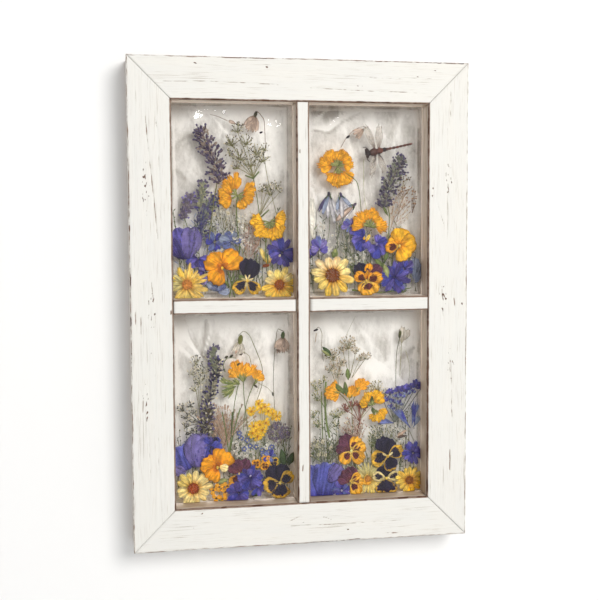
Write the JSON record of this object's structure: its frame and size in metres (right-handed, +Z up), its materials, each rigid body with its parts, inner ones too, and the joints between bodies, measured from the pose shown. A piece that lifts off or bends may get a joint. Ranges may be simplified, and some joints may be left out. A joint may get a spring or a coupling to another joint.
{
  "type": "pressed flower frame",
  "caption": "Small old window sash in worn white paint, its panes of clear resin holding pressed flowers, lavender and a dragonfly, to hang on a wall.",
  "frame": {"origin": "on the wall plane, at the screw that the keyhole slot in the back of the top rail hangs on, midway between the stiles", "axes": "+X to the right as one looks at the front, +Y from the front into the wall, +Z up"},
  "size_m": [0.324, 0.038, 0.46],
  "materials": {
    "painted_wood": "old flat white paint, chipped and cracked",
    "resin": "clear casting resin with a slightly wrinkled back",
    "yellow": "pressed petals",
    "gold": "pressed petals",
    "orange": "pressed petals",
    "cream": "pressed petals",
    "violet": "pressed petals",
    "blue": "pressed petals",
    "dark": "pressed petals",
    "burgundy": "pressed petals",
    "lavender": "pressed flower heads",
    "green": "pressed stems and leaves",
    "dry": "dry brown petals and stems",
    "chitin": "dry insect body and wings"
  },
  "bodies": {
    "root": {"stile_left": "painted_wood", "stile_right": "painted_wood", "rail_top": "painted_wood", "rail_bottom": "painted_wood", "bar_upright": "painted_wood", "bar_cross": "painted_wood", "resin_front_top_left": "resin", "resin_back_top_left": "resin", "top_left_lavender": "lavender", "top_left_umbel": "cream", "top_left_nodding_bells": "dry", "top_left_yellow_cluster_upper": "yellow", "top_left_yellow_cluster_lower": "yellow", "top_left_purple_petals": "violet", "top_left_orange_viola": "orange", "top_left_dark_pansy": "dark", "top_left_blue_delphinium": "blue", "top_left_yellow_daisy": "yellow", "top_left_gold_aster": "gold", "resin_front_top_right": "resin", "resin_back_top_right": "resin", "top_right_yellow_ring": "yellow", "top_right_dragonfly": "chitin", "top_right_lavender": "lavender", "top_right_yellow_fan": "yellow", "top_right_blue_viola": "blue", "top_right_yellow_viola": "yellow", "top_right_pale_daisy": "gold", "top_right_dark_pansy": "orange", "top_right_blue_delphinium": "blue", "resin_front_bottom_left": "resin", "resin_back_bottom_left": "resin", "bottom_left_lavender": "violet", "bottom_left_umbel": "cream", "bottom_left_nodding_bell": "dry", "bottom_left_orange_cluster": "orange", "bottom_left_tansy": "yellow", "bottom_left_dried_flower": "dry", "bottom_left_blue_petals": "violet", "bottom_left_orange_viola": "orange", "bottom_left_burgundy_viola": "burgundy", "bottom_left_violet_flower": "blue", "bottom_left_yellow_pansy": "dark", "bottom_left_yellow_daisy": "yellow", "resin_front_bottom_right": "resin", "resin_back_bottom_right": "resin", "bottom_right_cream_umbel": "cream", "bottom_right_green_stems": "green", "bottom_right_orange_cluster": "orange", "bottom_right_yellow_cluster": "yellow", "bottom_right_pink_umbel": "dry", "bottom_right_blue_umbel": "violet", "bottom_right_nodding_stem": "green", "bottom_right_burgundy_pansy": "burgundy", "bottom_right_black_pansy_upper": "dark", "bottom_right_black_pansy_lower": "dark", "bottom_right_blue_petals": "blue", "bottom_right_burgundy_viola": "burgundy", "bottom_right_gold_aster": "gold", "bottom_right_yellow_daisy": "yellow"}
  },
  "joints": []
}
